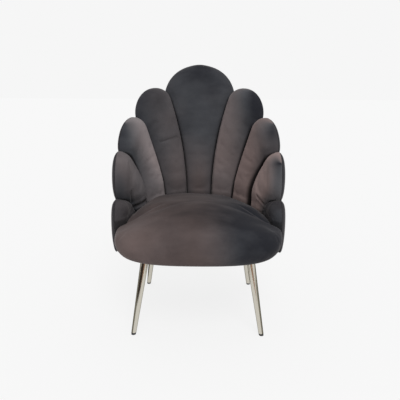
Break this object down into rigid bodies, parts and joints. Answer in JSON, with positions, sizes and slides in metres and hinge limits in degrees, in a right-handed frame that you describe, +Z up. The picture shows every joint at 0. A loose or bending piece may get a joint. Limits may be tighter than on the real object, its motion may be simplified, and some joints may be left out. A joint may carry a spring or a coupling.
{
  "type": "lounge chair",
  "caption": "Upholstered lounge chair with a wraparound back of overlapping petal pads that falls into low arms, a domed round-front seat and splayed tapered metal legs.",
  "frame": {"origin": "on the floor under the middle of the chair's box", "axes": "+Z up, the front faces -Y, +X to the right in a front view"},
  "size_m": [0.596, 0.6246, 0.89],
  "materials": {
    "velvet": "dark grey velvet, short nap with light and dark patches",
    "foam": "upholstery foam",
    "plywood": "raw birch plywood",
    "dust_cloth": "thin black non-woven cloth",
    "leg_metal": "polished, warm champagne tone",
    "glide_plastic": "black moulded plastic",
    "zinc_screws": "zinc plated"
  },
  "bodies": {
    "root": {"petal_center": "velvet", "petal_left_1": "velvet", "petal_left_2": "velvet", "petal_left_3": "velvet", "petal_left_4": "velvet", "petal_right_1": "velvet", "petal_right_2": "velvet", "petal_right_3": "velvet", "petal_right_4": "velvet", "outer_panel_center": "velvet", "outer_panel_left_1": "velvet", "outer_panel_left_2": "velvet", "outer_panel_left_3": "velvet", "outer_panel_left_4": "velvet", "outer_panel_right_1": "velvet", "outer_panel_right_2": "velvet", "outer_panel_right_3": "velvet", "outer_panel_right_4": "velvet", "back_shell": "plywood", "seat_cushion": "velvet", "seat_foam": "foam", "seat_board": "plywood", "dust_cover": "dust_cloth", "leg_front_left": "leg_metal", "leg_front_right": "leg_metal", "leg_rear_left": "leg_metal", "leg_rear_right": "leg_metal", "glide_front_left": "glide_plastic", "glide_front_right": "glide_plastic", "glide_rear_left": "glide_plastic", "glide_rear_right": "glide_plastic", "leg_screws": "zinc_screws", "leg_nuts": "zinc_screws", "shell_screws": "zinc_screws"}
  },
  "joints": []
}
